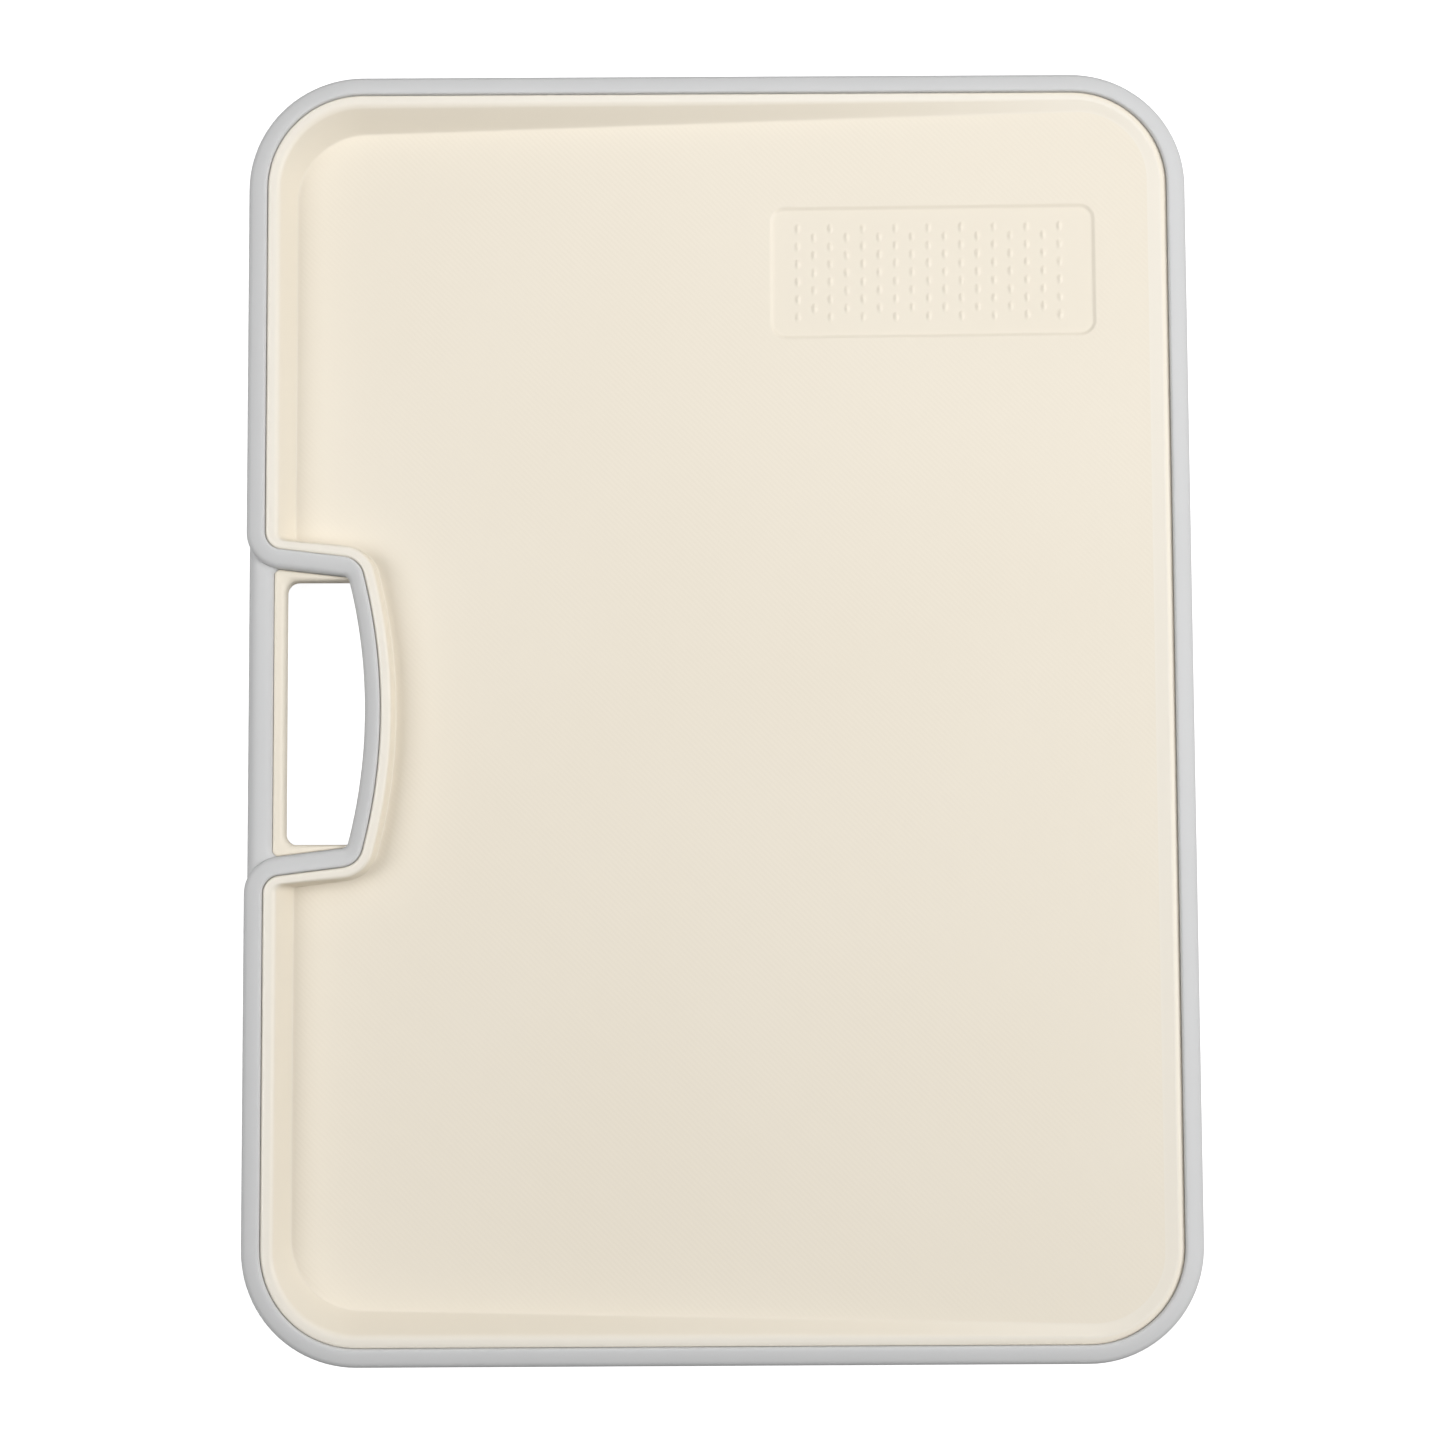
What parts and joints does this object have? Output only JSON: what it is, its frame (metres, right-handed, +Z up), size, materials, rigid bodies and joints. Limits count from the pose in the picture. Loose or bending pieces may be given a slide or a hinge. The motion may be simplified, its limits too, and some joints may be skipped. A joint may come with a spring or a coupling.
{
  "type": "cutting board",
  "caption": "Rectangular two-faced plastic cutting board with a sloping dished tray, a soft rim all round, a finger-slot handle on one long side and a grater patch.",
  "frame": {"origin": "middle of the footprint, on the surface that the board lies on", "axes": "+Z up out of the front face, +Y along the board towards the end with the grater patch, the handle on the -X side"},
  "size_m": [0.2936, 0.4, 0.017],
  "materials": {
    "cream_plastic": "satin with a fine moulded grain",
    "grey_rim": "soft-touch matt"
  },
  "bodies": {
    "root": {"front_panel": "cream_plastic", "back_panel": "cream_plastic", "edge_rim": "grey_rim", "handle_grip": "grey_rim"}
  },
  "joints": []
}
